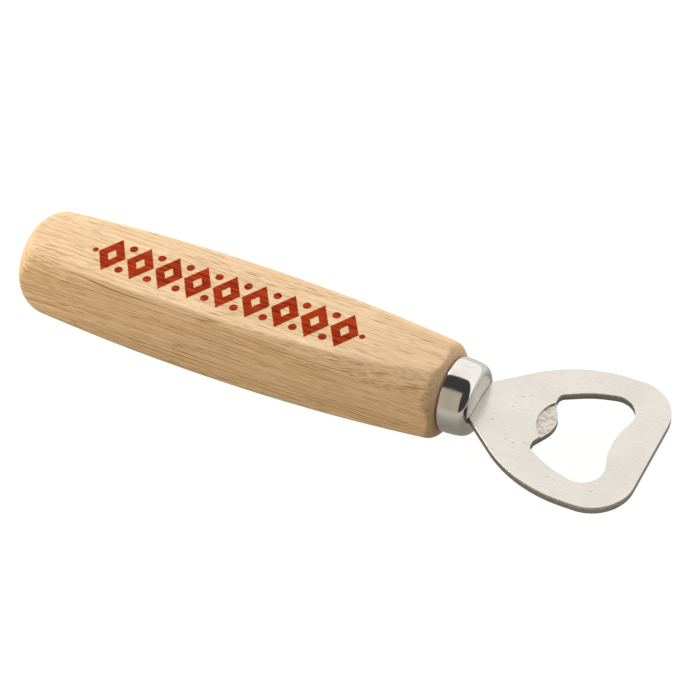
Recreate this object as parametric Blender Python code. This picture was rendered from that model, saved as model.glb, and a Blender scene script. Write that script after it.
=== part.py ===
"""Wooden-handled souvenir bottle opener.

A turned wooden barrel with four milled flats carries a stamped steel opener plate. The plate's
tang is glued into a bore in the handle, and a drawn steel ferrule covers the joint.

All sizes are in metres. The opener lies on its lower flat: +X runs from the butt of the handle
to the tip of the plate and +Z is up. The origin is under the middle of the whole opener, on the
surface it lies on. Each piece is drawn in its own frame, in which the opener's long axis is X
and x = 0 is the outer end face of the ferrule.
"""

import math

import bmesh
import bpy
from mathutils import Vector

MM = 0.001
FIT_GAP = 0.3 * MM  # clearance left between pieces that touch on the real opener

# Overall layout along the long axis, measured from the ferrule's end face.
PLATE_REACH = 44.0 * MM
SHOULDER_X = -7.7 * MM
BUTT_X = -124.8 * MM
FLAT_HALF = 11.3 * MM  # half the distance between opposite flats
FERRULE_FACE = Vector((-(PLATE_REACH + BUTT_X) / 2, 0.0, FLAT_HALF))

# Handle: a barrel turned about the long axis, then milled flat on four sides.
BARREL_RADIUS = 15.3 * MM
BARREL_WIDEST_X = -70.5 * MM
BARREL_ARC_RADIUS = 594.0 * MM
BUTT_ROUNDING = 6.8 * MM
SHOULDER_ROUNDING = 3.4 * MM
TENON_RADIUS = 7.8 * MM
TENON_END_X = -1.2 * MM
TENON_CHAMFER = 2.0 * MM
BORE_RADIUS = 5.0 * MM
BORE_BOTTOM_X = -40.0 * MM

# Ferrule: a drawn cup with a slot in its closed end.
FERRULE_MOUTH_RADIUS = 9.5 * MM
FERRULE_END_RADIUS = 9.15 * MM
FERRULE_ROUNDING = 2.7 * MM
FERRULE_WALL = 0.8 * MM

# Opener plate.
PLATE_THICKNESS = 2.0 * MM
PLATE_HALF_WIDTH = 21.1 * MM
PLATE_SHOULDER_X = 17.7 * MM  # where the flank's line would meet the side's
PLATE_SHOULDER_RADIUS = 35.0 * MM
PLATE_CORNER_RADIUS = 10.6 * MM
NECK_HALF_WIDTH = 6.0 * MM
NECK_START_X = 0.3 * MM  # the plate's seat, against the ferrule's end face
NECK_END_X = -0.9 * MM
SEAT_HALF_WIDTH = 6.5 * MM
TANG_HALF_WIDTH = 3.5 * MM
TANG_END_X = -36.0 * MM
TANG_CORNER_RADIUS = 1.2 * MM
COIN_RADIUS = 7.6 * MM
COIN_CENTRE = (22.4 * MM, 1.2 * MM)  # the punch has landed a little to one side
COIN_DEPTH = 0.5 * MM

ROUND_SEGMENTS = 64
LARGEST_ARC_STEP = math.radians(9)
LONGEST_ARC_CHORD = 2.0 * MM


def clear_scene():
    for obj in list(bpy.data.objects):
        bpy.data.objects.remove(obj, do_unlink=True)


def make_material(name, colour, roughness, metallic):
    material = bpy.data.materials.new(name)
    material.use_nodes = True
    shader = material.node_tree.nodes["Principled BSDF"]
    shader.inputs["Base Color"].default_value = (*colour, 1.0)
    shader.inputs["Roughness"].default_value = roughness
    shader.inputs["Metallic"].default_value = metallic
    return material


def add_object(name, mesh, parent, material=None):
    obj = bpy.data.objects.new(name, mesh)
    bpy.context.scene.collection.objects.link(obj)
    obj.parent = parent
    if material:
        mesh.materials.append(material)
    return obj


def finish_mesh(name, bm):
    """Turns a bmesh into a mesh with outward faces, shaded smooth except at real edges."""
    bmesh.ops.recalc_face_normals(bm, faces=bm.faces)
    mesh = bpy.data.meshes.new(name)
    bm.to_mesh(mesh)
    bm.free()
    mesh.shade_smooth()
    mesh.set_sharp_from_angle(angle=math.radians(30))
    return mesh


def arc(centre, radius, start, end):
    """Points along a circular arc, ends included, with angles in radians."""
    step_angle = min(LARGEST_ARC_STEP, LONGEST_ARC_CHORD / radius)
    steps = max(1, math.ceil(abs(end - start) / step_angle))
    angles = [start + (end - start) * step / steps for step in range(steps + 1)]
    return [(centre[0] + radius * math.cos(a), centre[1] + radius * math.sin(a)) for a in angles]


def round_corners(corners):
    """Replaces each corner (x, y, radius) of a closed outline by an arc tangent to both sides."""
    outline = []
    for index, (x, y, radius) in enumerate(corners):
        here = Vector((x, y))
        to_last = (Vector(corners[index - 1][:2]) - here).normalized()
        to_next = (Vector(corners[(index + 1) % len(corners)][:2]) - here).normalized()
        if radius == 0:
            outline.append((x, y))
            continue
        half_angle = to_last.angle(to_next) / 2
        centre = here + (to_last + to_next).normalized() * radius / math.sin(half_angle)
        reach = radius / math.tan(half_angle)
        first, last = here + to_last * reach - centre, here + to_next * reach - centre
        start = math.atan2(first.y, first.x)
        turn = math.remainder(math.atan2(last.y, last.x) - start, 2 * math.pi)
        outline += arc(centre, radius, start, start + turn)
    return outline


def mirrored(half):
    """Closes the outline of one side with its mirror image across the X axis."""
    return half + [(x, -y, radius) for x, y, radius in reversed(half) if y > 0]


def turned(name, profile, segments=ROUND_SEGMENTS):
    """A solid of revolution about X, from (x, radius) points that begin and end on the axis."""
    bm = bmesh.new()
    rings = []
    for x, radius in profile:
        if radius == 0:
            rings.append([bm.verts.new((x, 0, 0))])
            continue
        angles = [2 * math.pi * i / segments for i in range(segments)]
        rings.append([bm.verts.new((x, radius * math.cos(a), radius * math.sin(a))) for a in angles])
    for first, second in zip(rings, rings[1:]):
        for i in range(segments):
            corners = [first[i % len(first)], first[(i + 1) % len(first)]]
            corners += [second[(i + 1) % len(second)], second[i % len(second)]]
            bm.faces.new(list(dict.fromkeys(corners)))
    return finish_mesh(name, bm)


def plate(name, outline, low, high):
    """A flat plate with the given closed outline between two heights."""
    bm = bmesh.new()
    face = bm.faces.new([bm.verts.new((x, y, low)) for x, y in outline])
    raised = bmesh.ops.extrude_face_region(bm, geom=[face])["geom"]
    top = [item for item in raised if isinstance(item, bmesh.types.BMVert)]
    bmesh.ops.translate(bm, verts=top, vec=(0, 0, high - low))
    return finish_mesh(name, bm)


def rod(name, start_x, end_x, radius):
    """A plain cylinder along X."""
    profile = [(start_x, 0), (start_x, radius), (end_x, radius), (end_x, 0)]
    return turned(name, profile, ROUND_SEGMENTS // 2)


def block(name, low, high):
    """A rectangular block between two opposite corners."""
    rectangle = [(low[0], low[1]), (high[0], low[1]), (high[0], high[1]), (low[0], high[1])]
    return plate(name, rectangle, low[2], high[2])


def combine(target, operation, tool_mesh):
    """Cuts or trims target with a hidden wire-frame tool in the target's own frame."""
    tool = add_object(f"{target.name}_tool_{len(target.modifiers)}", tool_mesh, target.parent)
    tool.hide_render = True
    tool.display_type = "WIRE"
    boolean = target.modifiers.new(operation.lower(), "BOOLEAN")
    boolean.operation = operation
    boolean.solver = "EXACT"
    boolean.object = tool


def barrel_radius(x):
    """Radius of the shallow turned arc at x."""
    drop = BARREL_ARC_RADIUS - math.sqrt(BARREL_ARC_RADIUS**2 - (x - BARREL_WIDEST_X) ** 2)
    return BARREL_RADIUS - drop


def handle_profile():
    """Half section of the turned handle, from the butt to the end of the tenon."""
    butt_arc_x = BUTT_X + BUTT_ROUNDING
    butt_centre = (butt_arc_x, barrel_radius(butt_arc_x) - BUTT_ROUNDING)
    front_arc_x = SHOULDER_X - SHOULDER_ROUNDING
    front_centre = (front_arc_x, barrel_radius(front_arc_x) - SHOULDER_ROUNDING)
    barrel_steps = 24
    length = front_arc_x - butt_arc_x
    barrel = [butt_arc_x + length * step / barrel_steps for step in range(1, barrel_steps)]
    profile = [(BUTT_X, 0)]
    profile += arc(butt_centre, BUTT_ROUNDING, math.pi, math.pi / 2)
    profile += [(x, barrel_radius(x)) for x in barrel]
    profile += arc(front_centre, SHOULDER_ROUNDING, math.pi / 2, 0)
    profile += [(SHOULDER_X, TENON_RADIUS), (TENON_END_X - TENON_CHAMFER, TENON_RADIUS)]
    profile += [(TENON_END_X, TENON_RADIUS - TENON_CHAMFER), (TENON_END_X, 0)]
    return profile


def build_handle(frame):
    wood = make_material("beech", (0.72, 0.52, 0.33), 0.55, 0.0)
    handle = add_object("handle", turned("handle", handle_profile()), frame, wood)
    past_end = 5 * MM
    low = (BUTT_X - past_end, -FLAT_HALF, -FLAT_HALF)
    combine(handle, "INTERSECT", block("square", low, (past_end, FLAT_HALF, FLAT_HALF)))
    combine(handle, "DIFFERENCE", rod("bore", BORE_BOTTOM_X, past_end, BORE_RADIUS))


def cup_wall(inset):
    """Half section of the ferrule's outer skin, or of its inner skin when inset by the wall."""
    mouth_x = SHOULDER_X + FIT_GAP
    centre = (-FERRULE_ROUNDING, FERRULE_END_RADIUS - FERRULE_ROUNDING)
    skin = [(mouth_x, FERRULE_MOUTH_RADIUS - inset)]
    skin += arc(centre, FERRULE_ROUNDING - inset, math.pi / 2, 0)
    return skin + [(-inset, 0)]


def build_ferrule(frame):
    steel = make_material("polished_steel", (0.78, 0.76, 0.74), 0.08, 1.0)
    profile = cup_wall(0)[::-1] + cup_wall(FERRULE_WALL)
    ferrule = add_object("ferrule", turned("ferrule", profile), frame, steel)
    half_width = NECK_HALF_WIDTH + FIT_GAP
    half_height = PLATE_THICKNESS / 2 + FIT_GAP
    past_wall = 2 * FERRULE_WALL
    low = (-past_wall, -half_width, -half_height)
    combine(ferrule, "DIFFERENCE", block("slot", low, (past_wall, half_width, half_height)))


def plate_outline():
    """Outline of the opener plate with its neck and tang."""
    half = [
        (TANG_END_X, TANG_HALF_WIDTH, TANG_CORNER_RADIUS),
        (NECK_END_X, TANG_HALF_WIDTH, 0),
        (NECK_END_X, NECK_HALF_WIDTH, 0),
        (NECK_START_X, NECK_HALF_WIDTH, 0),
        (NECK_START_X, SEAT_HALF_WIDTH, 0),
        (PLATE_SHOULDER_X, PLATE_HALF_WIDTH, PLATE_SHOULDER_RADIUS),
        (PLATE_REACH, PLATE_HALF_WIDTH, PLATE_CORNER_RADIUS),
    ]
    return round_corners(mirrored(half))


def opening_outline():
    """Outline of the cap opening, from the nose of the lifting tooth round to the tip side."""
    half = [
        (20.58 * MM, 0.0, 7.0 * MM),  # nose of the tooth
        (16.85 * MM, 6.83 * MM, 1.85 * MM),  # notch beside the tooth
        (16.85 * MM, 9.21 * MM, 1.85 * MM),
        (24.16 * MM, 13.09 * MM, 25.0 * MM),  # long flank
        (39.03 * MM, 16.53 * MM, 5.45 * MM),  # rounded lobe
        (32.85 * MM, 0.0, 20.0 * MM),  # shallow bulge that bears on the cap
    ]
    return round_corners(mirrored(half))


def build_opener_blade(frame):
    steel = make_material("brushed_steel", (0.76, 0.74, 0.71), 0.3, 1.0)
    half_height = PLATE_THICKNESS / 2
    past_face = 1 * MM
    solid = plate("opener_blade", plate_outline(), -half_height, half_height)
    blade = add_object("opener_blade", solid, frame, steel)
    cut_depth = half_height + past_face
    combine(blade, "DIFFERENCE", plate("opening", opening_outline(), -cut_depth, cut_depth))
    die = arc(COIN_CENTRE, COIN_RADIUS, 0, 2 * math.pi)[:-1]
    combine(blade, "DIFFERENCE", plate("coin", die, half_height - COIN_DEPTH, cut_depth))


def build_tang_adhesive(frame):
    resin = make_material("cured_adhesive", (0.62, 0.52, 0.33), 0.4, 0.0)
    cylinder = rod("tang_adhesive", BORE_BOTTOM_X + FIT_GAP, TENON_END_X - FIT_GAP, BORE_RADIUS - FIT_GAP)
    plug = add_object("tang_adhesive", cylinder, frame, resin)
    half_width = TANG_HALF_WIDTH + FIT_GAP
    half_height = PLATE_THICKNESS / 2 + FIT_GAP
    low = (TANG_END_X - FIT_GAP, -half_width, -half_height)
    combine(plug, "DIFFERENCE", block("pocket", low, (0, half_width, half_height)))


def main():
    clear_scene()
    frame = bpy.data.objects.new("opener_axis", None)
    frame.location = FERRULE_FACE
    bpy.context.scene.collection.objects.link(frame)
    build_handle(frame)
    build_ferrule(frame)
    build_opener_blade(frame)
    build_tang_adhesive(frame)


main()
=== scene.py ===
"""Looks of the wooden-handled bottle opener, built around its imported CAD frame.

Every piece is drawn in millimetres, in the opener's own axes: X runs along the opener, with 0 at
the ferrule's end face, and the long axis itself is y = z = 0. The frame says where that point
lies. A mesh is turned into metres when it is made. The floor and the lights are in metres.
"""

import math

import bmesh
import bpy
from mathutils import Matrix, Vector


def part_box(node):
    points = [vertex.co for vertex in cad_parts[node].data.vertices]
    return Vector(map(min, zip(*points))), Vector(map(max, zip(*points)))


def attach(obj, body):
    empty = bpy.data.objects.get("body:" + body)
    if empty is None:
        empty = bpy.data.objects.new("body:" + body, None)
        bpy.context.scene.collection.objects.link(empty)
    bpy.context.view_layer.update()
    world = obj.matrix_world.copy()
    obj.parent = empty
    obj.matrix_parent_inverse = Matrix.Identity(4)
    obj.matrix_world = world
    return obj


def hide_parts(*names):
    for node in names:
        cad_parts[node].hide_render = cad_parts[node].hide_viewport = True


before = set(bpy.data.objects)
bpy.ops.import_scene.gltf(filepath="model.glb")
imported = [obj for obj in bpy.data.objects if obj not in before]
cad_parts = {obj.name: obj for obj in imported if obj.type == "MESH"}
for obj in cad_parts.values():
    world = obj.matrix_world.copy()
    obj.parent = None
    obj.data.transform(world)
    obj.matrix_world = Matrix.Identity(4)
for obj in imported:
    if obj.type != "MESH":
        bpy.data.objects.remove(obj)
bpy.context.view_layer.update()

MM = 0.001  # one millimetre, in metres

# Places that the frame gives: the ferrule's end face and the long axis.
HANDLE_LOW, HANDLE_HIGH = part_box("handle")
FERRULE_LOW, FERRULE_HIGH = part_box("ferrule")
BLADE_LOW, BLADE_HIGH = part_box("opener_blade")
FLAT_HALF = (HANDLE_HIGH.z - HANDLE_LOW.z) / 2 / MM
ORIGIN = Vector((FERRULE_HIGH.x, 0, HANDLE_LOW.z)) / MM + Vector((0, 0, FLAT_HALF))

# Handle.
FIT_GAP = 0.3  # the CAD pieces stand this far apart where the real ones touch
BUTT_X = HANDLE_LOW.x / MM - ORIGIN.x
SHOULDER_X = FERRULE_LOW.x / MM - ORIGIN.x - FIT_GAP
BARREL_RADIUS = 15.3
BARREL_WIDEST_X = -70.5
BARREL_ARC_RADIUS = 594.0
BUTT_ROUNDING = 6.8
BUTT_CROWN = 0.3
SHOULDER_ROUNDING = 3.4
SHOULDER_FOOT_RADIUS = 8.4
TENON_RADIUS = 7.8
TENON_END_X = -1.2
TENON_CHAMFER = 2.0
BORE_RADIUS = 5.0
BORE_BOTTOM_X = -40.0

# The ridges between the flats, as exponents: sanded round at the butt, crisper towards the head.
SOFT_RIDGE = 42.0
SOFT_RIDGE_X = BUTT_X + 10
CRISP_RIDGE = 140.0
CRISP_RIDGE_X = SHOULDER_X - 30

# Ferrule.
MOUTH_RADIUS = 9.5
END_RADIUS = 9.15
FERRULE_ROUNDING = 2.7
FERRULE_TAPER = math.radians(13.1)  # slope that the wall has reached where the rounding starts
FERRULE_WALL = 0.8
MOUTH_X = SHOULDER_X + 0.06  # a hairline away from the wood
LIP_RADIUS = 0.22
LIP_ROLL_LENGTH = 1.3  # the mouth is rolled in a little where it grips the wood
LIP_ROLL_DEPTH = 0.12
SLOT_GAP = 0.12
SLOT_END_GAP = 0.03
SLOT_ROUNDING = 0.10
SLOT_SQUARENESS = 14.0  # exponent of the slot's rounded rectangle

# Opener plate.
PLATE_HALF = (BLADE_HIGH.z - BLADE_LOW.z) / 2 / MM
PLATE_REACH = BLADE_HIGH.x / MM - ORIGIN.x
PLATE_HALF_WIDTH = BLADE_HIGH.y / MM
PLATE_SHOULDER_X = 17.7
PLATE_SHOULDER_RADIUS = 35.0
PLATE_CORNER_RADIUS = 10.6
NECK_HALF_WIDTH = 6.0
NECK_START_X = 0.06  # the seat rests against the ferrule's end face
NECK_END_X = -0.9
SEAT_HALF_WIDTH = 6.5
TANG_HALF_WIDTH = 3.5
TANG_END_X = BLADE_LOW.x / MM - ORIGIN.x
TANG_CORNER_RADIUS = 1.2
OUTER_EDGE_ROLL = 0.16  # widths of the rolled upper edge
OPENING_EDGE_ROLL = 0.09
EDGE_ROLL_DEPTH = 0.14
EDGE_FOOT = 0.06
COIN_RADIUS = 7.6
COIN_CENTRE = (22.4, 1.2)
COIN_FLOOR = PLATE_HALF - 0.5
TOOTH_EDGE_ROLL = 0.22

# Printed band on the upper flat: hollow lozenges in a row, with dots between them and at its ends.
PRINT_START_X = -104.0
PRINT_PITCH = 8.1
PRINT_UNITS = 9
PRINT_Y = -1.3
PRINT_LOWEST_Z = FLAT_HALF - 0.4
LOZENGE = (3.85, 5.8)  # half length and half width
LOZENGE_HOLE = (1.25, 1.85)
LOZENGE_REACH = 1.045  # where its edge lies, as a multiple of those
DOT_RADIUS = 1.12
DOT_Y = 3.9
END_DOT_RADIUS = 0.82
END_DOT_OFFSET = 0.09  # past the outermost lozenges, in pitches
INK_BLEED = 0.09


# ---------------------------------------------------------------- mesh helpers


def put_in_scene(name, mesh, materials, node):
    """Adds a finished mesh as a piece that rides on the opener and stands for its CAD node."""
    obj = bpy.data.objects.new(name, mesh)
    bpy.context.scene.collection.objects.link(obj)
    for material in materials:
        mesh.materials.append(material)
    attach(obj, "root")
    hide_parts(node)
    return obj


def mesh_from(bm, name, sharp_degrees):
    """Moves a bmesh from the opener's axes in millimetres into the frame, as a smooth mesh."""
    bmesh.ops.recalc_face_normals(bm, faces=bm.faces)
    mesh = bpy.data.meshes.new(name)
    bm.to_mesh(mesh)
    bm.free()
    mesh.transform(Matrix.Scale(MM, 4) @ Matrix.Translation(ORIGIN))
    mesh.shade_smooth()
    mesh.set_sharp_from_angle(angle=math.radians(sharp_degrees))
    return mesh


def arc(centre, radius, start, end, step=math.radians(4), chord=0.7):
    """Points along a circular arc, ends included. No step is wider than step or than chord."""
    steps = max(2, math.ceil(abs(end - start) / min(step, chord / radius)))
    angles = [start + (end - start) * i / steps for i in range(steps + 1)]
    return [(centre[0] + radius * math.cos(a), centre[1] + radius * math.sin(a)) for a in angles]


def round_corners(polygon):
    """Replaces each corner (x, y, radius) of a closed polygon by an arc tangent to both sides."""
    outline = []
    for index, (x, y, radius) in enumerate(polygon):
        here = Vector((x, y))
        to_last = (Vector(polygon[index - 1][:2]) - here).normalized()
        to_next = (Vector(polygon[(index + 1) % len(polygon)][:2]) - here).normalized()
        if radius == 0:
            outline.append((x, y))
            continue
        half_angle = to_last.angle(to_next) / 2
        centre = here + (to_last + to_next).normalized() * radius / math.sin(half_angle)
        reach = radius / math.tan(half_angle)
        first, last = here + to_last * reach - centre, here + to_next * reach - centre
        start = math.atan2(first.y, first.x)
        turn = math.remainder(math.atan2(last.y, last.x) - start, 2 * math.pi)
        outline += arc(centre, radius, start, start + turn)
    return outline


def mirrored(half):
    """Closes the outline of one side with its mirror image across the X axis."""
    return half + [(x, -y, radius) for x, y, radius in reversed(half) if y > 0]


def counter_clockwise(outline):
    """The outline itself, or the same points the other way round if it runs clockwise."""
    pairs = zip(outline, outline[1:] + outline[:1])
    area = sum(x1 * y2 - x2 * y1 for (x1, y1), (x2, y2) in pairs)
    return outline if area > 0 else outline[::-1]


def inset(outline, amount):
    """Moves a counter-clockwise outline inwards by amount, or outwards where it is negative."""
    moved = []
    for index, point in enumerate(outline):
        here = Vector(point)
        before = (here - Vector(outline[index - 1])).normalized()
        after = (Vector(outline[(index + 1) % len(outline)]) - here).normalized()
        normal = Vector((-before.y - after.y, before.x + after.x)).normalized()
        stretch = max(0.4, normal.dot(Vector((-before.y, before.x))))
        moved.append(tuple(here + normal * amount / stretch))
    return moved


def loft(bm, rings, close=False):
    """Joins rings of the same number of vertices by quads. A ring of one vertex is a pole."""
    pairs = list(zip(rings, rings[1:])) + ([(rings[-1], rings[0])] if close else [])
    for first, second in pairs:
        for i in range(max(len(first), len(second))):
            quad = [first[i % len(first)], first[(i + 1) % len(first)]]
            quad += [second[(i + 1) % len(second)], second[i % len(second)]]
            bm.faces.new(list(dict.fromkeys(quad)))  # at a pole, two of the corners are the same


def ring_of(bm, x, radii, angles):
    """One ring about the X axis: a radius for each angle, where angle 0 points up.

    A ring whose radii are all 0 is a pole.
    """
    if max(radii) == 0:
        return [bm.verts.new((x, 0, 0))]
    return [bm.verts.new((x, r * math.sin(a), r * math.cos(a))) for r, a in zip(radii, angles)]


def rounded_radius(limits, power):
    """The smallest of some radii, given as 1 / radius, with a smooth change from one to the next.

    The higher the power, the crisper the corner between them.
    """
    most = max(limits)
    return 1 / (most * sum((limit / most) ** power for limit in limits) ** (1 / power))


def smooth_step(low, high, value):
    """0 up to low, 1 from high on, and a smooth step between them."""
    t = min(1.0, max(0.0, (value - low) / (high - low)))
    return t * t * (3 - 2 * t)


# ---------------------------------------------------------------- node helpers


class Graph:
    """Builds a node tree: each call adds one node and returns one of its output sockets."""

    def __init__(self, tree):
        self.tree = tree
        tree.nodes.clear()

    def add(self, kind, inputs=(), out=0, **settings):
        """Adds a node. An input is a constant or another node's output."""
        node = self.tree.nodes.new(kind)
        for key, value in settings.items():
            setattr(node, key, value)
        for key, value in dict(inputs).items():
            if isinstance(value, bpy.types.NodeSocket):
                self.tree.links.new(value, node.inputs[key])
            else:
                node.inputs[key].default_value = value
        return node.outputs[out] if node.outputs else None

    def math(self, operation, *values, clamp=False):
        """Arithmetic on single numbers."""
        return self.add("ShaderNodeMath", enumerate(values), operation=operation, use_clamp=clamp)

    def times(self, value, factor):
        """The product of two numbers."""
        return self.math("MULTIPLY", value, factor)

    def vector(self, operation, *values):
        """Vector arithmetic."""
        return self.add("ShaderNodeVectorMath", enumerate(values), operation=operation)

    def length(self, vector):
        """The length of a vector."""
        return self.add("ShaderNodeVectorMath", {0: vector}, 1, operation="LENGTH")

    def millimetres(self):
        """The point in the opener's own axes, in millimetres."""
        metres = self.add("ShaderNodeTexCoord", out="Object")
        return self.vector("SUBTRACT", self.vector("DIVIDE", metres, (MM, MM, MM)), ORIGIN)

    def split(self, vector):
        """The three parts of a vector."""
        node = self.tree.nodes.new("ShaderNodeSeparateXYZ")
        self.tree.links.new(vector, node.inputs[0])
        return node.outputs[0], node.outputs[1], node.outputs[2]

    def join(self, x, y, z):
        """A vector from its three parts."""
        return self.add("ShaderNodeCombineXYZ", {0: x, 1: y, 2: z})

    def noise(self, point, per_mm, detail, roughness=0.5):
        """Noise from 0 to 1 with its own frequency, per millimetre, along each axis."""
        inputs = {"Vector": self.vector("MULTIPLY", point, per_mm), "Scale": 1.0}
        inputs |= {"Detail": detail, "Roughness": roughness}
        return self.add("ShaderNodeTexNoise", inputs)

    def cells(self, point, per_mm):
        """Distance, in cell widths, to the nearest of a set of scattered points."""
        stretched = self.vector("MULTIPLY", point, per_mm)
        return self.add("ShaderNodeTexVoronoi", {"Vector": stretched, "Scale": 1.0}, "Distance")

    def step(self, value, low, high, to_low=0.0, to_high=1.0):
        """A smooth step from to_low, at low, to to_high, at high."""
        inputs = {"Value": value, "From Min": low, "From Max": high}
        inputs |= {"To Min": to_low, "To Max": to_high}
        return self.add("ShaderNodeMapRange", inputs, interpolation_type="SMOOTHSTEP")

    def blend(self, factor, first, second, kind="MIX"):
        """Mixes two colours. The keys are the Mix node's sockets for a factor and two colours."""
        node = self.tree.nodes.new("ShaderNodeMix")
        node.data_type, node.blend_type = "RGBA", kind
        for key, value in ((0, factor), (6, first), (7, second)):
            if isinstance(value, bpy.types.NodeSocket):
                self.tree.links.new(value, node.inputs[key])
            else:
                node.inputs[key].default_value = value if key == 0 else (*value, 1.0)
        return node.outputs[2]

    def bump(self, height, depth_mm, normal=None):
        """A bump whose height, from 0 to 1, stands for depth_mm."""
        inputs = {"Height": height, "Distance": depth_mm * MM, "Strength": 1.0}
        if normal:
            inputs["Normal"] = normal
        return self.add("ShaderNodeBump", inputs)

    def surface(self, inputs):
        """Ends a material's tree in a Principled shader."""
        shader = self.add("ShaderNodeBsdfPrincipled", inputs)
        self.add("ShaderNodeOutputMaterial", {"Surface": shader})


def new_material(name):
    """An empty material and the graph of its nodes."""
    material = bpy.data.materials.new(name)
    material.use_nodes = True
    return material, Graph(material.node_tree)


# ---------------------------------------------------------------- materials


def print_mask(g, point):
    """1 inside the printed band of lozenges and dots on the upper flat, 0 outside it."""
    bleed = g.times(g.noise(point, (0.9, 5.0, 5.0), 3.0), INK_BLEED)
    x, y, z = g.split(point)
    along = g.math("DIVIDE", g.math("SUBTRACT", x, PRINT_START_X), PRINT_PITCH)
    across = g.math("ABSOLUTE", g.math("SUBTRACT", y, PRINT_Y))
    last_unit = PRINT_UNITS - 1

    def from_nearest(shift, last):
        """Distance along X to the nearest repeat, of those from the first one to the last."""
        unit = g.math("ROUND", g.math("SUBTRACT", along, shift))
        unit = g.math("MINIMUM", g.math("MAXIMUM", unit, 0.0), float(last))
        offset = g.math("SUBTRACT", g.math("SUBTRACT", along, shift), unit)
        return g.times(g.math("ABSOLUTE", offset), PRINT_PITCH)

    def lozenge(u, half_size):
        """1 inside a lozenge on the band's middle, at the distance u along it."""
        half_length, half_width = half_size
        share_across = g.math("DIVIDE", across, half_width)
        reach = g.math("ADD", g.math("DIVIDE", u, half_length), share_across)
        return g.step(g.math("ADD", reach, bleed), LOZENGE_REACH + 0.025, LOZENGE_REACH - 0.025)

    def dot(u, v, radius):
        """1 inside a dot, at the distances u along the band and v across it."""
        distance = g.length(g.join(u, v, 0.0))
        return g.step(g.math("ADD", distance, bleed), radius + 0.05, radius - 0.05)

    u = from_nearest(0.5, last_unit)
    rings = g.math("SUBTRACT", lozenge(u, LOZENGE), lozenge(u, LOZENGE_HOLE), clamp=True)
    dots = dot(from_nearest(1.0, last_unit - 1), g.math("SUBTRACT", across, DOT_Y), DOT_RADIUS)
    from_middle = g.math("ABSOLUTE", g.math("SUBTRACT", along, PRINT_UNITS / 2))
    from_end = g.math("SUBTRACT", from_middle, PRINT_UNITS / 2 + END_DOT_OFFSET)
    end_dots = dot(g.times(from_end, PRINT_PITCH), across, END_DOT_RADIUS)
    shapes = g.math("MAXIMUM", g.math("MAXIMUM", rings, dots), end_dots)
    return g.times(shapes, g.math("GREATER_THAN", z, PRINT_LOWEST_Z))


def dashes(g, grain, per_mm, shift, width, share):
    """Short lens-shaped marks along the grain, each the cut through one wood vessel."""
    distance = g.cells(g.vector("ADD", grain, shift), per_mm)
    return g.times(g.step(distance, width, width * 0.45), share)


def wood_pores(g, grain):
    """Dashes of three sizes. The two longer kinds lie in clusters."""
    clusters = g.step(g.noise(grain, (0.04, 0.35, 0.5), 2.0), 0.38, 0.60, 0.20, 1.0)
    long = dashes(g, grain, (0.095, 1.35, 1.35), (0.0, 0.0, 0.0), 0.25, 0.78)
    medium = dashes(g, grain, (0.15, 2.1, 2.1), (3.1, 7.7, 1.9), 0.28, 0.62)
    short = dashes(g, grain, (0.20, 3.2, 3.2), (8.3, 2.2, 5.4), 0.29, 0.34)
    return g.math("MAXIMUM", g.times(g.math("MAXIMUM", long, medium), clusters), short)


def wood_streaks(g, grain, on_side):
    """Soft brown streaks along the grain, stronger on the sides."""
    broad = g.step(g.noise(grain, (0.024, 2.6, 2.6), 2.0, 0.55), 0.57, 0.63)
    thin = g.step(g.noise(grain, (0.040, 5.2, 5.2), 2.0, 0.5), 0.57, 0.64)
    streaks = g.math("MAXIMUM", broad, g.times(thin, 0.7))
    return g.times(streaks, g.step(on_side, 0.0, 1.0, 0.12, 0.28))


def wood_lines(g, grain, radius, on_side):
    """Thin dark lines: contours of a slow noise on the top, and the rings' edges on the sides."""
    wander = g.noise(grain, (0.016, 1.5, 1.5), 1.0)
    top_lines = g.step(g.math("ABSOLUTE", g.math("SUBTRACT", wander, 0.5)), 0.060, 0.028)
    top_share = g.times(top_lines, g.step(on_side, 0.0, 1.0, 0.26, 0.12))
    drift = g.noise(grain, (0.006, 0.30, 0.30), 1.0)

    def side_lines(per_mm, drift_turns, faint, full):
        """Thin lines where the sides cut the rings, spaced unevenly by the drift."""
        turns = g.math("ADD", g.times(radius, per_mm), g.times(drift, drift_turns))
        turn = g.math("FRACT", turns)
        return g.times(g.step(turn, faint, full), g.step(turn, 1.0, 0.97))

    def fading(per_mm, low, high, most=1.0):
        """How strong the lines are from place to place."""
        return g.step(g.noise(grain, per_mm, 3.0, 0.6), low, high, 0.0, most)

    coarse = g.times(side_lines(0.85, 1.1, 0.76, 0.88), fading((0.026, 1.0, 1.0), 0.42, 0.58))
    fine = g.times(side_lines(1.75, 2.2, 0.58, 0.78), fading((0.05, 1.4, 1.4), 0.44, 0.60, 0.6))
    side_share = g.times(g.math("MAXIMUM", coarse, fine), g.step(on_side, 0.0, 1.0, 0.0, 0.80))
    return g.math("MAXIMUM", top_share, side_share)


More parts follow.
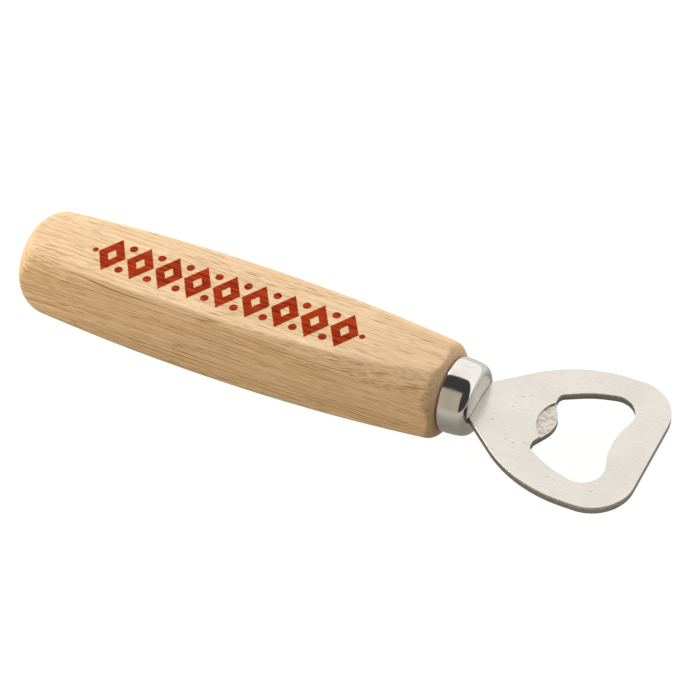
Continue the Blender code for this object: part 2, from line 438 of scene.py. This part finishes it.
def wood_material():
    """Fine-sanded pale hardwood with rings, fibres, streaks, thin lines, pores and the print."""
    material, g = new_material("sanded_beech")
    point = g.millimetres()
    slow_point = g.vector("MULTIPLY", point, (0.018, 0.05, 0.05))
    sway_inputs = {"Vector": slow_point, "Scale": 1.0, "Detail": 1.0}
    sway = g.add("ShaderNodeTexNoise", sway_inputs, "Color")
    sway = g.vector("MULTIPLY", g.vector("SUBTRACT", sway, (0.5, 0.5, 0.5)), (0.0, 4.0, 4.0))
    grain = g.vector("ADD", point, sway)
    _, sideways, _ = g.split(g.add("ShaderNodeTexCoord", out="Normal"))
    on_side = g.step(g.math("ABSOLUTE", sideways), 0.35, 0.85)

    # Growth rings round a pith far below the handle: they show as broad bands on the top.
    from_pith = g.vector("SUBTRACT", grain, (0.0, 22.0, -95.0))
    radius = g.length(g.vector("MULTIPLY", from_pith, (0.0, 1.0, 1.0)))
    ring = g.math("POWER", g.math("FRACT", g.times(radius, 0.42)), 3.0)
    ring = g.times(ring, g.step(ring, 1.0, 0.93))

    patches = g.noise(point, (0.016, 0.07, 0.07), 2.0)
    stripes = g.noise(grain, (0.022, 0.9, 1.25), 4.0, 0.65)
    fibres = g.noise(grain, (0.09, 4.2, 4.2), 3.0, 0.65)
    pores = wood_pores(g, grain)
    lines = wood_lines(g, grain, radius, on_side)

    light, middle, dark = (0.845, 0.635, 0.415), (0.770, 0.550, 0.335), (0.545, 0.335, 0.170)
    golden, streak_brown = (0.70, 0.50, 0.27), (0.36, 0.195, 0.085)
    line_brown, pore_brown = (0.26, 0.135, 0.055), (0.27, 0.145, 0.065)
    colour = g.blend(g.step(stripes, 0.30, 0.72), light, middle)
    colour = g.blend(g.times(g.step(patches, 0.42, 0.66), 0.35), colour, golden)
    colour = g.blend(g.times(ring, 0.26), colour, dark)
    colour = g.blend(g.times(g.step(fibres, 0.42, 0.72), 0.22), colour, dark)
    colour = g.blend(wood_streaks(g, grain, on_side), colour, streak_brown)
    colour = g.blend(lines, colour, line_brown)
    colour = g.blend(pores, colour, pore_brown)
    # Painted shade: the sides are tinted darker and warmer than the top, standing in for the shade
    # they get.
    colour = g.blend(on_side, colour, g.blend(1.0, colour, (1.0, 0.965, 0.865), "MULTIPLY"))

    # Handling has darkened the ridges.
    x, y, z = g.split(point)
    from_axis = g.length(g.join(0.0, y, z))
    worn = g.step(g.math("ADD", from_axis, g.noise(point, (0.2, 0.6, 0.6), 3.0)), 15.1, 15.9)
    colour = g.blend(g.times(worn, 0.08), colour, (0.52, 0.32, 0.17))
    # Painted shade: darker towards the head, standing in for the light falling off there.
    colour = g.blend(g.step(x, -48.0, -9.0, 0.0, 0.16), colour, (0.60, 0.42, 0.25))
    # Painted shade: darker still at the rounded shoulder, where the wood meets the ferrule.
    ragged_x = g.math("ADD", x, g.noise(point, (0.5, 0.5, 0.5), 3.0))
    shoulder_shade = g.step(ragged_x, -10.2, -7.4)
    colour = g.blend(g.times(shoulder_shade, 0.45), colour, (0.50, 0.29, 0.17))

    # The ink is darker where it has sunk into the fibres.
    sunk = g.step(g.noise(grain, (0.10, 3.4, 3.4), 3.0, 0.6), 0.40, 0.62)
    ink = g.blend(sunk, (0.430, 0.040, 0.0), (0.165, 0.006, 0.0))
    colour = g.blend(print_mask(g, point), colour, ink)

    height = g.math("ADD", g.times(fibres, 0.22), g.times(stripes, 0.18))
    height = g.math("SUBTRACT", height, g.times(g.math("ADD", pores, lines), 0.6))
    roughness = g.math("ADD", 0.52, g.times(fibres, 0.16))
    roughness = g.math("SUBTRACT", roughness, g.times(worn, 0.07))
    g.surface({
        "Base Color": colour,
        "Roughness": roughness,
        "Normal": g.bump(height, 0.05),
        "Specular IOR Level": 0.05,
    })
    return material


def metal(g, colour, roughness, normal):
    """Ends the tree of a bare metal."""
    g.surface({"Base Color": colour, "Metallic": 1.0, "Roughness": roughness, "Normal": normal})


def polished_material():
    """Mirror-polished steel with fine polishing lines round it, dull smears and gentle waves."""
    material, g = new_material("polished_steel")
    point = g.millimetres()
    lines = g.noise(point, (6.0, 0.5, 0.5), 3.0, 0.6)
    smears = g.noise(point, (0.25, 0.35, 0.35), 3.0)
    waves = g.noise(point, (0.22, 0.16, 0.16), 1.0)
    roughness = g.math("ADD", 0.055, g.times(g.step(smears, 0.35, 0.75), 0.07))
    roughness = g.math("ADD", roughness, g.times(lines, 0.035))
    colour = g.blend(g.step(smears, 0.3, 0.8), (0.56, 0.545, 0.52), (0.50, 0.48, 0.45))
    metal(g, colour, roughness, g.bump(lines, 0.0022, g.bump(waves, 0.10)))
    return material


def scratches(g, point, degrees, per_mm, low, high):
    """Sparse hairlines that run degrees off the long axis."""
    inputs = {"Vector": point, "Angle": math.radians(degrees)}
    turned = g.add("ShaderNodeVectorRotate", inputs, rotation_type="Z_AXIS")
    return g.step(g.noise(turned, per_mm, 2.0, 0.5), low, high)


def satin_material():
    """Tumbled satin steel: fine lengthwise scratches, small pits and soft stains."""
    material, g = new_material("satin_steel")
    point = g.millimetres()
    x, _, z = g.split(point)
    hair = scratches(g, point, 4.0, (0.28, 6.0, 1.0), 0.56, 0.72)
    hair = g.math("MAXIMUM", hair, scratches(g, point, -9.0, (0.40, 7.5, 1.0), 0.60, 0.74))
    cross = scratches(g, point, 38.0, (0.18, 6.5, 1.0), 0.66, 0.76)
    brushed = g.noise(point, (0.45, 9.0, 1.0), 3.0, 0.6)
    stains = g.noise(point, (0.07, 0.09, 0.09), 3.0)

    # The pits lie in patches, most of them near the neck.
    swerve = g.vector("MULTIPLY", (1.5, 1.5, 0.0), brushed)
    from_pit = g.cells(g.vector("ADD", point, swerve), (0.34, 0.95, 0.95))
    near_neck = g.step(x, 24.0, 9.0, 0.0, 0.12)
    pitted = g.math("ADD", g.noise(point, (0.11, 0.11, 0.11), 2.0), near_neck)
    pits = g.times(g.step(from_pit, 0.17, 0.07), g.step(pitted, 0.56, 0.64))

    colour = g.blend(g.step(stains, 0.3, 0.7), (0.530, 0.506, 0.476), (0.496, 0.470, 0.438))
    colour = g.blend(g.times(g.step(brushed, 0.42, 0.72), 0.26), colour, (0.34, 0.31, 0.28))
    colour = g.blend(g.times(pits, 0.7), colour, (0.14, 0.12, 0.10))
    colour = g.blend(g.times(g.math("MAXIMUM", hair, cross), 0.32), colour, (0.29, 0.26, 0.23))

    # The punch has scuffed the coined tooth and left it a shade darker.
    below_top = g.step(z, PLATE_HALF - 0.15, PLATE_HALF - 0.35)
    coined = g.times(below_top, g.step(z, 0.0, 0.2))
    scuffs = g.step(g.noise(point, (0.55, 0.9, 1.0), 4.0, 0.75), 0.50, 0.60)
    scuffs = g.math("MAXIMUM", scuffs, scratches(g, point, -50.0, (0.3, 3.5, 1.0), 0.58, 0.66))
    smudge = g.math("ADD", 0.16, g.times(scuffs, 0.72))
    colour = g.blend(g.times(coined, smudge), colour, (0.285, 0.235, 0.215))

    roughness = g.math("ADD", 0.17, g.times(stains, 0.07))
    roughness = g.math("ADD", roughness, g.times(brushed, 0.08))
    height = g.math("ADD", g.times(brushed, 0.35), 0.6)
    for marks, share in ((hair, 0.35), (cross, 0.25), (pits, 1.0)):
        height = g.math("SUBTRACT", height, g.times(marks, share))
    metal(g, colour, roughness, g.bump(height, 0.010))
    return material


def sheared_material():
    """The stamped edge: a burnished band at the punch side, then torn, darker steel below it."""
    material, g = new_material("sheared_edge")
    point = g.millimetres()
    _, _, z = g.split(point)
    ragged = g.times(g.noise(point, (0.9, 0.9, 0.1), 3.0), 0.9)
    torn = g.step(g.math("ADD", z, ragged), 1.05, 0.75)
    drag = g.noise(point, (5.5, 5.5, 0.5), 3.0, 0.6)
    crumbs = g.noise(point, (3.5, 3.5, 3.5), 4.0, 0.65)
    colour = g.blend(torn, (0.47, 0.45, 0.415), (0.31, 0.292, 0.260))
    colour = g.blend(g.times(g.step(crumbs, 0.45, 0.62), 0.7), colour, (0.10, 0.09, 0.075))
    roughness = g.math("ADD", 0.34, g.times(torn, 0.18))
    height = g.math("ADD", g.times(drag, 0.5), g.times(g.times(crumbs, torn), 0.8))
    metal(g, colour, roughness, g.bump(height, 0.06))
    return material


def resin_material():
    """Amber resin with small bubbles."""
    material, g = new_material("cured_resin")
    point = g.millimetres()
    cloud = g.noise(point, (0.3, 0.5, 0.5), 3.0)
    bubble = g.step(g.cells(point, (0.9, 0.9, 0.9)), 0.22, 0.12)
    colour = g.blend(g.step(cloud, 0.3, 0.7), (0.62, 0.50, 0.28), (0.52, 0.38, 0.18))
    colour = g.blend(g.times(bubble, 0.5), colour, (0.75, 0.68, 0.5))
    roughness = g.math("ADD", 0.22, g.times(cloud, 0.25))
    g.surface({"Base Color": colour, "Roughness": roughness, "Normal": g.bump(bubble, 0.08)})
    return material


def floor_material():
    """A white light table, lit softly from below."""
    material, g = new_material("pale_floor")
    mottle = g.noise(g.millimetres(), (0.02, 0.02, 0.02), 2.0)
    colour = g.blend(mottle, (0.27, 0.27, 0.27), (0.30, 0.30, 0.30))
    g.surface({
        "Base Color": colour,
        "Roughness": 0.8,
        "Specular IOR Level": 0.0,
        "Emission Color": (1.0, 1.0, 1.0, 1.0),
        "Emission Strength": 0.87,
    })
    return material


def bounce_material():
    """The light that the opener gets from below, with a painted shadow: dim close to it, beige in
    front, white behind.
    """
    material, g = new_material("floor_bounce")
    x, y, _ = g.split(g.millimetres())
    half_length = (HANDLE_HIGH.x - HANDLE_LOW.x) / 2 / MM
    past_end = g.math("SUBTRACT", g.math("ABSOLUTE", g.math("ADD", x, ORIGIN.x)), half_length)
    distance = g.length(g.join(g.math("MAXIMUM", past_end, 0.0), y, 0.0))
    far = g.blend(g.step(y, 5.0, 60.0), (0.82, 0.75, 0.66), (1.05, 1.03, 0.99))
    # Painted shadow: dim close to the opener, standing in for its own shadow on the floor.
    colour = g.blend(g.step(distance, 4.0, 60.0), (0.40, 0.37, 0.33), far)
    emission = g.add("ShaderNodeEmission", {"Color": colour, "Strength": 1.0})
    g.add("ShaderNodeOutputMaterial", {"Surface": emission})
    return material


# ---------------------------------------------------------------- handle


def barrel_radius(x):
    """Radius of the shallow turned arc at x."""
    drop = BARREL_ARC_RADIUS - math.sqrt(BARREL_ARC_RADIUS**2 - (x - BARREL_WIDEST_X) ** 2)
    return BARREL_RADIUS - drop


def barrel_profile():
    """(x, radius) from the middle of the butt to the shoulder's rounded edge."""
    butt_arc_x = BUTT_X + BUTT_CROWN + BUTT_ROUNDING
    butt_centre = (butt_arc_x, barrel_radius(butt_arc_x) - BUTT_ROUNDING)
    front_arc_x = SHOULDER_X - SHOULDER_ROUNDING
    front_centre = (front_arc_x, barrel_radius(front_arc_x) - SHOULDER_ROUNDING)
    crown_steps, barrel_steps = 7, 90
    profile = []
    for step in range(crown_steps):
        share = step / crown_steps
        profile.append((BUTT_X + BUTT_CROWN * share**2, butt_centre[1] * share))
    profile += arc(butt_centre, BUTT_ROUNDING, math.pi, math.pi / 2)
    length = front_arc_x - butt_arc_x
    for step in range(1, barrel_steps):
        x = butt_arc_x + length * step / barrel_steps
        profile.append((x, barrel_radius(x)))
    return profile + arc(front_centre, SHOULDER_ROUNDING, math.pi / 2, 0)


def ring_angles():
    """Angles round the handle, closer together where two flats meet in a ridge."""
    quarter = [2.0 * i for i in range(-19, 19)] + [38 + 0.5 * i for i in range(28)]
    return [math.radians(a + 90 * turn) for turn in range(4) for a in quarter]


def milled_radius(x, radius, angle):
    """The turned radius, cut back by the four flats, with sanded ridges between them."""
    if radius == 0:
        return 0.0
    crisp = smooth_step(SOFT_RIDGE_X, CRISP_RIDGE_X, x)
    power = SOFT_RIDGE + (CRISP_RIDGE - SOFT_RIDGE) * crisp
    flats = [abs(math.cos(angle)) / FLAT_HALF, abs(math.sin(angle)) / FLAT_HALF]
    return rounded_radius([1 / radius, *flats], power)


def build_handle(wood):
    """The barrel with its tenon and blind bore, as one closed skin."""
    bm = bmesh.new()
    angles = ring_angles()
    rings = [ring_of(bm, x, [milled_radius(x, radius, a) for a in angles], angles)
             for x, radius in barrel_profile()]
    inner = [
        (SHOULDER_X, SHOULDER_FOOT_RADIUS),
        (SHOULDER_X, TENON_RADIUS),
        (TENON_END_X - TENON_CHAMFER, TENON_RADIUS),
        (TENON_END_X, TENON_RADIUS - TENON_CHAMFER),
        (TENON_END_X, BORE_RADIUS),
        (BORE_BOTTOM_X, BORE_RADIUS),
        (BORE_BOTTOM_X, 0),
    ]
    rings += [ring_of(bm, x, [radius] * len(angles), angles) for x, radius in inner]
    loft(bm, rings)
    mesh = mesh_from(bm, "handle_beech", 40)
    return put_in_scene("handle_beech", mesh, [wood], "handle")


# ---------------------------------------------------------------- ferrule


def slot_ring(bm, x, grow, angles):
    """The slot's outline, a thin rectangle with softened corners, as a ring about the X axis."""
    half_width = NECK_HALF_WIDTH + SLOT_END_GAP + grow
    half_height = PLATE_HALF + SLOT_GAP + grow
    radii = []
    for angle in angles:
        limits = (abs(math.sin(angle)) / half_width, abs(math.cos(angle)) / half_height)
        radii.append(rounded_radius(limits, SLOT_SQUARENESS))
    return ring_of(bm, x, radii, angles)


def wall_skin(start, end):
    """(x, radius) down the wall: rolled in at the mouth, then ever steeper towards the end."""
    length = end[0] - start[0]
    steps = 28
    skin = []
    for step in range(1, steps):
        share = step / steps
        unrolled = max(0.0, 1 - share * length / LIP_ROLL_LENGTH)
        radius = MOUTH_RADIUS - LIP_ROLL_DEPTH * unrolled**2
        radius -= (MOUTH_RADIUS - end[1]) * share**3
        skin.append((start[0] + length * share, radius))
    return skin


def build_ferrule(steel):
    """The cup: lip, wall, rounded shoulder, slotted end face, and the same way back inside."""
    bm = bmesh.new()
    segments = 288
    angles = [2 * math.pi * i / segments for i in range(segments)]
    centre = (-FERRULE_ROUNDING, END_RADIUS - FERRULE_ROUNDING)
    shoulder = arc(centre, FERRULE_ROUNDING, math.pi / 2 - FERRULE_TAPER, 0)
    lip_centre = (MOUTH_X + LIP_RADIUS, MOUTH_RADIUS - LIP_ROLL_DEPTH - LIP_RADIUS)
    lip = arc(lip_centre, LIP_RADIUS, 1.5 * math.pi, 0.5 * math.pi, math.radians(20))[1:]
    skin = lip + wall_skin(lip[-1], shoulder[0]) + shoulder
    skin.append((0.0, centre[1] - 0.05))  # keeps the end face flat up to its edge
    inside = [(-FERRULE_WALL, centre[1] - 0.02)]
    inside += arc(centre, FERRULE_ROUNDING - FERRULE_WALL, 0, math.pi / 2, math.radians(15))
    inside.append((MOUTH_X + LIP_RADIUS, MOUTH_RADIUS - FERRULE_WALL))

    rings = [ring_of(bm, x, [radius] * segments, angles) for x, radius in skin]
    for depth, grow in ((0.0, 1.0), (0.3, 0.3), (1.0, 0.0)):
        rings.append(slot_ring(bm, -depth * SLOT_ROUNDING, grow * SLOT_ROUNDING, angles))
    rings.append(slot_ring(bm, -FERRULE_WALL, 0.0, angles))
    rings += [ring_of(bm, x, [radius] * segments, angles) for x, radius in inside]
    loft(bm, rings, close=True)
    mesh = mesh_from(bm, "ferrule_polished", 42)
    return put_in_scene("ferrule_polished", mesh, [steel], "ferrule")


# ---------------------------------------------------------------- opener plate


def plate_outline():
    """Outline of the opener plate with its neck and tang."""
    half = [
        (TANG_END_X, TANG_HALF_WIDTH, TANG_CORNER_RADIUS),
        (NECK_END_X, TANG_HALF_WIDTH, 0),
        (NECK_END_X, NECK_HALF_WIDTH, 0),
        (NECK_START_X, NECK_HALF_WIDTH, 0),
        (NECK_START_X, SEAT_HALF_WIDTH, 0),
        (PLATE_SHOULDER_X, PLATE_HALF_WIDTH, PLATE_SHOULDER_RADIUS),
        (PLATE_REACH, PLATE_HALF_WIDTH, PLATE_CORNER_RADIUS),
    ]
    return counter_clockwise(round_corners(mirrored(half)))


def opening_outline():
    """Outline of the cap opening, from the nose of the lifting tooth round to the tip side."""
    half = [
        (20.58, 0.0, 7.0),  # nose of the tooth
        (16.85, 6.83, 1.85),  # notch beside the tooth
        (16.85, 9.21, 1.85),
        (24.16, 13.09, 25.0),  # long flank
        (39.03, 16.53, 5.45),  # rounded lobe
        (32.85, 0.0, 20.0),  # shallow bulge that bears on the cap
    ]
    return counter_clockwise(round_corners(mirrored(half)))


def edge_levels(roll):
    """(inset, height) down the stamped edge: rolled over at the top, nearly square below."""
    levels = []
    for degrees in (0, 30, 60, 90):
        angle = math.radians(degrees)
        height = PLATE_HALF - EDGE_ROLL_DEPTH * (1 - math.cos(angle))
        levels.append((roll * (1 - math.sin(angle)), height))
    return levels + [(0.0, -PLATE_HALF + EDGE_FOOT), (EDGE_FOOT, -PLATE_HALF)]


def plate_solid(outer, opening):
    """A closed plate with one opening and rolled edges."""
    bm = bmesh.new()
    top_edges, bottom_edges = [], []
    for outline, side, roll in ((outer, 1, OUTER_EDGE_ROLL), (opening, -1, OPENING_EDGE_ROLL)):
        rings = []
        for amount, height in edge_levels(roll):
            rings.append([bm.verts.new((x, y, height)) for x, y in inset(outline, side * amount)])
        loft(bm, rings)
        for edges, ring in ((top_edges, rings[0]), (bottom_edges, rings[-1])):
            edges += [bm.edges.get(pair) for pair in zip(ring, ring[1:] + ring[:1])]
    for edges in (top_edges, bottom_edges):
        bmesh.ops.triangle_fill(bm, edges=edges, use_beauty=True)
    bmesh.ops.recalc_face_normals(bm, faces=bm.faces)
    return bm


def coin_die():
    """The round punch that sets the lifting tooth back, with a blunt edge and a slight draft."""
    bm = bmesh.new()
    segments = 160
    profile = (  # (height, radius)
        (COIN_FLOOR, 0),
        (COIN_FLOOR, COIN_RADIUS - 0.16),
        (COIN_FLOOR + 0.05, COIN_RADIUS - 0.05),
        (PLATE_HALF, COIN_RADIUS + 0.02),
        (PLATE_HALF + 1, COIN_RADIUS + 0.05),
        (PLATE_HALF + 1, 0),
    )
    rings = []
    for height, radius in profile:
        if radius == 0:
            rings.append([bm.verts.new((*COIN_CENTRE, height))])
            continue
        circle = arc(COIN_CENTRE, radius, 0, 2 * math.pi, 2 * math.pi / segments, radius)[:-1]
        rings.append([bm.verts.new((x, y, height)) for x, y in circle])
    loft(bm, rings)
    bmesh.ops.recalc_face_normals(bm, faces=bm.faces)
    return bm


def object_of(bm, name):
    """A temporary object, in millimetres, that holds a bmesh."""
    mesh = bpy.data.meshes.new(name)
    bm.to_mesh(mesh)
    bm.free()
    obj = bpy.data.objects.new(name, mesh)
    bpy.context.scene.collection.objects.link(obj)
    return obj


def cut(body_bm, tool_bm):
    """Body minus tool, as a new bmesh."""
    body, tool = object_of(body_bm, "cut_body"), object_of(tool_bm, "cut_tool")
    boolean = body.modifiers.new("cut", "BOOLEAN")
    boolean.operation, boolean.solver, boolean.object = "DIFFERENCE", "EXACT", tool
    bpy.context.view_layer.update()
    result = bmesh.new()
    result.from_object(body, bpy.context.evaluated_depsgraph_get())
    for obj in (body, tool):
        mesh = obj.data
        bpy.data.objects.remove(obj)
        bpy.data.meshes.remove(mesh)
    return result


def roll_tooth_edge(bm):
    """Rounds the coined tooth's own edge, where the punch has pressed the steel over.

    These are the edges at the coined level between a level face and a wall that goes down.
    """
    chosen = []
    for edge in bm.edges:
        if len(edge.link_faces) != 2 or any(abs(v.co.z - COIN_FLOOR) > 1e-4 for v in edge.verts):
            continue
        steeper, flatter = sorted(abs(face.normal.z) for face in edge.link_faces)
        lowest = min(v.co.z for face in edge.link_faces for v in face.verts)
        if steeper < 0.3 and flatter > 0.9 and lowest < COIN_FLOOR - 0.5:
            chosen.append(edge)
    bmesh.ops.bevel(bm, geom=chosen, offset=TOOTH_EDGE_ROLL, offset_type="OFFSET", segments=3,
                    profile=0.5, affect="EDGES", clamp_overlap=True)


def build_blade(satin, sheared):
    """The head: satin on its faces, sheared steel on its steep edges."""
    bm = cut(plate_solid(plate_outline(), opening_outline()), coin_die())
    roll_tooth_edge(bm)
    bm.normal_update()
    for face in bm.faces:
        face.material_index = 1 if abs(face.normal.z) < 0.35 else 0
    mesh = mesh_from(bm, "opener_head", 50)
    blade = put_in_scene("opener_head", mesh, [satin, sheared], "opener_blade")
    weighted = blade.modifiers.new("even_shading", "WEIGHTED_NORMAL")
    weighted.keep_sharp = True
    weighted.weight = 100
    return blade


# ---------------------------------------------------------------- studio

FLOOR_RADIUS = 12.0  # in metres


def round_floor(name, material):
    """A large round floor at the height that the opener rests on."""
    bm = bmesh.new()
    bmesh.ops.create_circle(bm, cap_ends=True, segments=96, radius=FLOOR_RADIUS)
    mesh = bpy.data.meshes.new(name)
    bm.to_mesh(mesh)
    bm.free()
    mesh.materials.append(material)
    floor = bpy.data.objects.new(name, mesh)
    bpy.context.scene.collection.objects.link(floor)
    return floor


def build_floor():
    """A white floor that only the camera sees, and one in its place that lights the opener."""
    seen = round_floor("studio_floor", floor_material())
    seen.visible_glossy = seen.visible_diffuse = False
    bounce = round_floor("studio_floor_bounce", bounce_material())
    bounce.visible_camera = bounce.visible_shadow = False


def build_world():
    """A light tent: white behind, beige in front on the left, and near black everywhere else."""
    world = bpy.data.worlds.new("light_tent")
    bpy.context.scene.world = world
    world.use_nodes = True
    g = Graph(world.node_tree)
    x, y, z = g.split(g.add("ShaderNodeTexCoord", out="Generated"))
    tilt = g.math("ARCTAN2", g.times(y, -1.0), z)  # from the zenith towards the front

    def tilted_over(degrees, soft):
        """1 where the tilt is past an angle, over a soft edge."""
        return g.step(tilt, math.radians(degrees - soft), math.radians(degrees + soft))

    dark, white, beige = (0.075, 0.072, 0.068), (1.62, 1.60, 1.56), (0.72, 0.63, 0.52)
    behind = g.math("SUBTRACT", 1.0, tilted_over(-13.0, 2.0))
    front_left = g.times(tilted_over(30.0, 4.0), g.step(x, 0.25, 0.14))
    colour = g.blend(behind, dark, white)
    colour = g.blend(front_left, colour, beige)
    background = g.add("ShaderNodeBackground", {"Color": colour, "Strength": 1.0})
    g.add("ShaderNodeOutputWorld", {"Surface": background})


def area_light(name, direction, distance, size, watts, colour):
    """A square softbox that looks at the opener from a direction. Lengths are in metres."""
    data = bpy.data.lights.new(name, "AREA")
    data.shape = "SQUARE"
    data.size = size
    data.energy = watts
    data.color = colour
    light = bpy.data.objects.new(name, data)
    toward = Vector(direction).normalized()
    light.location = toward * distance
    light.rotation_mode = "QUATERNION"
    light.rotation_quaternion = (-toward).to_track_quat("-Z", "Y")
    light.visible_camera = False
    bpy.context.scene.collection.objects.link(light)
    return light


def light_only(name, direction, distance, size, watts, colour, piece):
    """A softbox for one piece only."""
    group = bpy.data.collections.new(name)
    group.objects.link(piece)
    light = area_light(name, direction, distance, size, watts, colour)
    light.light_linking.receiver_collection = group


def build_camera():
    """A long lens, which looks down on the opener from the front right."""
    data = bpy.data.cameras.new("camera")
    data.lens = 145.62
    data.sensor_width = 36.0
    data.clip_start, data.clip_end = 0.01, 60.0
    camera = bpy.data.objects.new("camera", data)
    azimuth, elevation, roll = (math.radians(a) for a in (30.201, 46.568, -4.705))
    target, distance = Vector((2.091, 3.829, 11.3)) * MM, 684.1 * MM
    back = Vector((math.sin(azimuth) * math.cos(elevation),
                   -math.cos(azimuth) * math.cos(elevation), math.sin(elevation)))
    level = Vector((math.cos(azimuth), math.sin(azimuth), 0))
    upright = back.cross(level)
    right = level * math.cos(roll) + upright * math.sin(roll)
    up = upright * math.cos(roll) - level * math.sin(roll)
    camera.rotation_mode = "QUATERNION"
    camera.rotation_quaternion = Matrix((right, up, back)).transposed().to_quaternion()
    camera.location = target + back * distance
    bpy.context.scene.collection.objects.link(camera)
    bpy.context.scene.camera = camera


build_camera()
build_floor()
build_world()
area_light("key_softbox", (-0.70, 0.24, 0.68), 0.7, 0.35, 1.95, (1.0, 0.985, 0.96))
area_light("fill_softbox", (-0.78, -0.50, 0.36), 0.45, 0.25, 0.85, (1.0, 0.95, 0.87))
bpy.context.scene.view_settings.view_transform = "Standard"

build_handle(wood_material())
build_ferrule(polished_material())
head = build_blade(satin_material(), sheared_material())
# Seen from behind, the plate mirrors the dark part of the tent, so it has a softbox of its own.
light_only("rear_view_softbox", (0.62, -0.70, 0.32), 0.6, 0.45, 0.30, (1.0, 0.98, 0.95), head)
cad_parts["tang_adhesive"].material_slots[0].material = resin_material()
